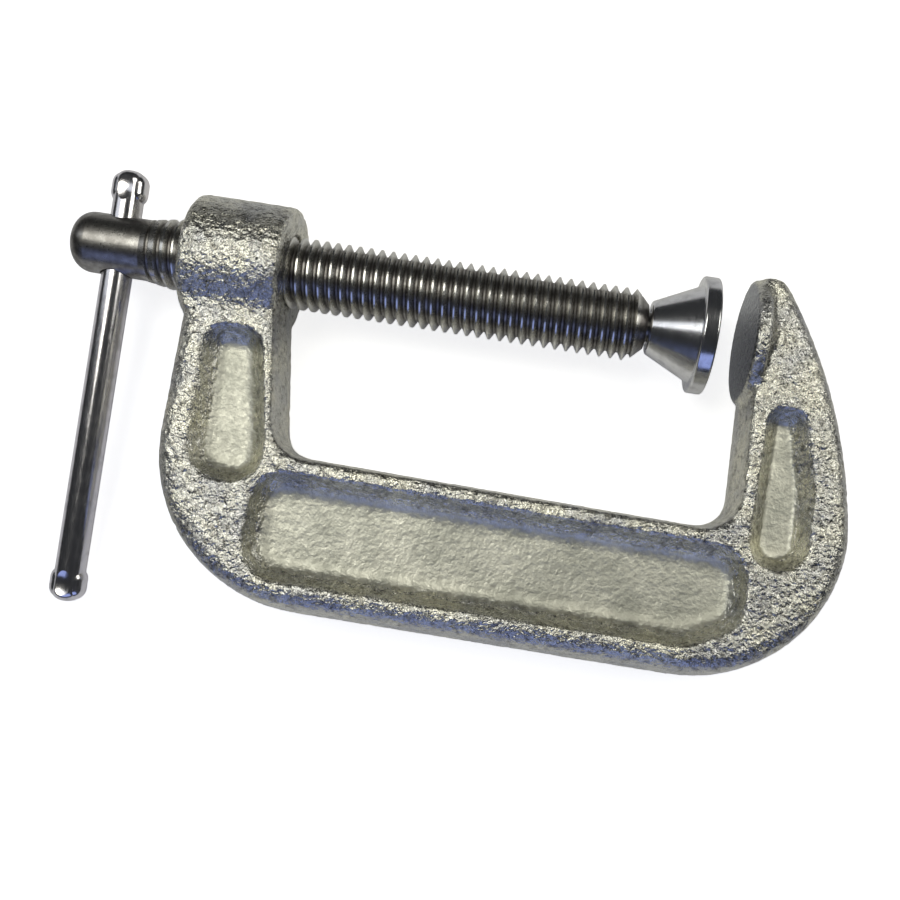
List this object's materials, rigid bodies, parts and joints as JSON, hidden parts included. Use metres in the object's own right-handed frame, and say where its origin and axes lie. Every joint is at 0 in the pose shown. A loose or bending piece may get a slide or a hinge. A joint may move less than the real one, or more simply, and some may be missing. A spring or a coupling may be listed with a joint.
{
  "type": "c clamp",
  "caption": "C-shaped screw clamp: cast frame with fixed round anvil, threaded spindle with swivel pad, and a sliding cross bar to turn it.",
  "frame": {"origin": "centre of the anvil's flat clamping face", "axes": "+X along the spindle towards the anvil, +Y in the plane of the C from the spine to the spindle, +Z through the thickness of the C, up as it lies flat"},
  "size_m": [0.1397, 0.0762, 0.0224],
  "materials": {
    "zinc_casting": "bright zinc plate over rough malleable iron casting",
    "plated_screw": "bright nickel or zinc plated steel, rolled thread",
    "plated_pad": "bright plated turned steel",
    "plated_bar": "bright plated drawn steel bar"
  },
  "bodies": {
    "frame": {"frame": "zinc_casting"},
    "ball": {"spindle_ball": "plated_screw"},
    "spindle": {"spindle": "plated_screw"},
    "pad": {"swivel_pad": "plated_pad"},
    "bar": {"tommy_bar": "plated_bar"}
  },
  "joints": [
    {"name": "spindle_travel", "type": "slide", "parent": "frame", "child": "ball", "axis": [1, 0, 0], "range_m": [-0.0624, 0.00506]},
    {"name": "spindle_turn", "type": "hinge", "parent": "ball", "child": "spindle", "pos_m": [-0.0881, 0, 0], "axis": [1, 0, 0], "range_deg": [-11490, 930]},
    {"name": "pad_tilt", "type": "hinge", "parent": "ball", "child": "pad", "pos_m": [-0.012, 0, 0], "axis": [0, 0, 1], "range_deg": [-5, 5]},
    {"name": "bar_slide", "type": "slide", "parent": "spindle", "child": "bar", "axis": [0, 0.9925, 0.1219], "range_m": [-0.0026, 0.0521]}
  ],
  "couplings": [
    {"joint": "spindle_travel", "follows": "spindle_turn", "m_per_rad": 0.00031096}
  ]
}
